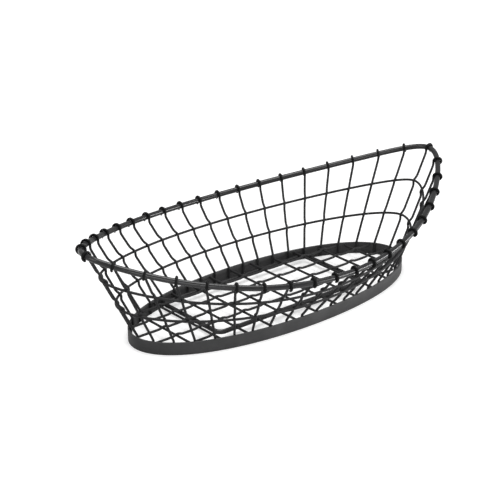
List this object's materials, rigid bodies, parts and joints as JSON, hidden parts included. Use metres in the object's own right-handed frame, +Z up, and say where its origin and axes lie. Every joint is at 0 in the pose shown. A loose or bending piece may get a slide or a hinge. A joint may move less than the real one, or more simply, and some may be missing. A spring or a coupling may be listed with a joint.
{
  "type": "wire serving basket",
  "caption": "Boat-shaped oval serving basket of black steel wire: hooked ribs under a thick rim that rises at both ends, a wire floor and an upright strip foot.",
  "frame": {"origin": "centre of the footprint, at table height", "axes": "+X along the basket's length, +Y across it, +Z up from the table"},
  "size_m": [0.39, 0.2155, 0.1026],
  "materials": {
    "rim_rod": "satin black paint on thick round steel rod",
    "wire": "satin black paint on thin steel wire",
    "strip": "satin black paint on flat steel strip"
  },
  "bodies": {
    "root": {"rim_wire": "rim_rod", "ring_upper": "wire", "ring_lower": "wire", "foot_band": "strip", "base_frame": "rim_rod", "floor_cross_wires": "wire", "floor_long_wire_1": "wire", "floor_long_wire_2": "wire", "floor_long_wire_3": "wire", "floor_long_wire_4": "wire", "floor_long_wire_5": "wire", "rib_1": "wire", "rib_2": "wire", "rib_3": "wire", "rib_4": "wire", "rib_5": "wire", "rib_6": "wire", "rib_7": "wire", "rib_8": "wire", "rib_9": "wire", "rib_10": "wire", "rib_11": "wire", "rib_12": "wire", "rib_13": "wire", "rib_14": "wire", "rib_15": "wire", "rib_16": "wire", "rib_17": "wire", "rib_18": "wire", "rib_19": "wire", "rib_20": "wire", "rib_21": "wire", "rib_22": "wire", "rib_23": "wire", "rib_24": "wire", "rib_25": "wire", "rib_26": "wire", "rib_27": "wire", "rib_28": "wire", "rib_29": "wire", "rib_30": "wire", "rib_31": "wire", "rib_32": "wire", "rib_33": "wire", "rib_34": "wire", "rib_35": "wire", "rib_36": "wire", "rib_37": "wire", "rib_38": "wire", "rib_39": "wire", "rib_40": "wire"}
  },
  "joints": []
}
